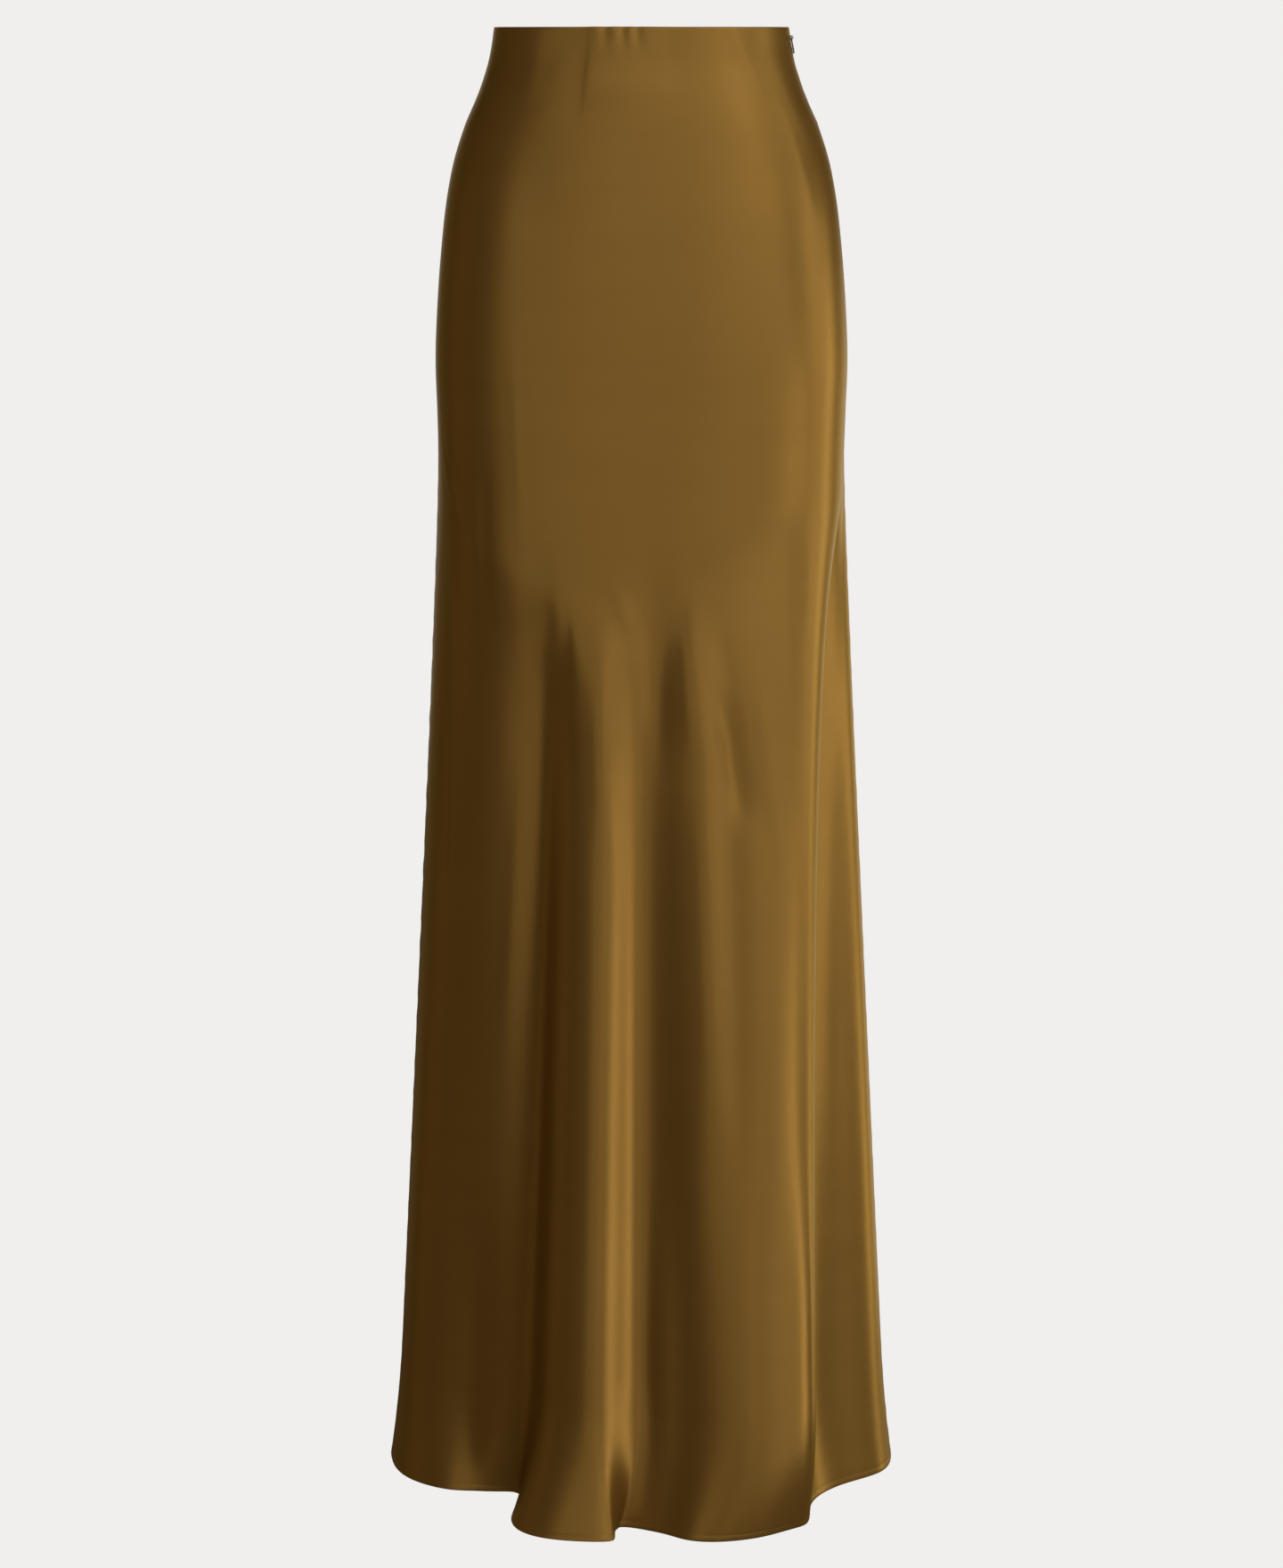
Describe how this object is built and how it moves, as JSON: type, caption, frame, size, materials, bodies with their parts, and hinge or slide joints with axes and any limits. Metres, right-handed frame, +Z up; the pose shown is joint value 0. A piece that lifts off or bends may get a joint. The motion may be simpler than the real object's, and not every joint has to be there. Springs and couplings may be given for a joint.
{
  "type": "a-line maxi skirt",
  "caption": "A-line maxi skirt in bias-cut satin, filled out as worn, with soft flutes to the hem and a concealed side zip.",
  "frame": {"origin": "middle of the waist's top edge, where the wearer's waist holds the skirt", "axes": "+Z up from hem to waist, -Y the front, +X the wearer's left, where the zip is"},
  "size_m": [0.4005, 0.4044, 1.1255],
  "materials": {
    "satin": "bronze satin with a soft sheen",
    "zip_tape": "fine woven tape",
    "zip_coil": "nylon coil",
    "zip_metal": "bronze lacquer"
  },
  "bodies": {
    "skirt": {"front_panel": "satin", "back_panel": "satin", "zip_tape_front": "zip_tape", "zip_tape_back": "zip_tape", "zip_coil": "zip_coil", "zip_slider": "zip_metal"},
    "pull_tab": {"zip_pull_tab": "zip_metal"}
  },
  "joints": [
    {"name": "pull_tab_hinge", "type": "hinge", "parent": "skirt", "child": "pull_tab", "pos_m": [0.11204, -0.0283, -0.00784], "axis": [-0.0688, -0.9365, -0.3438], "range_deg": [0, 150]}
  ]
}
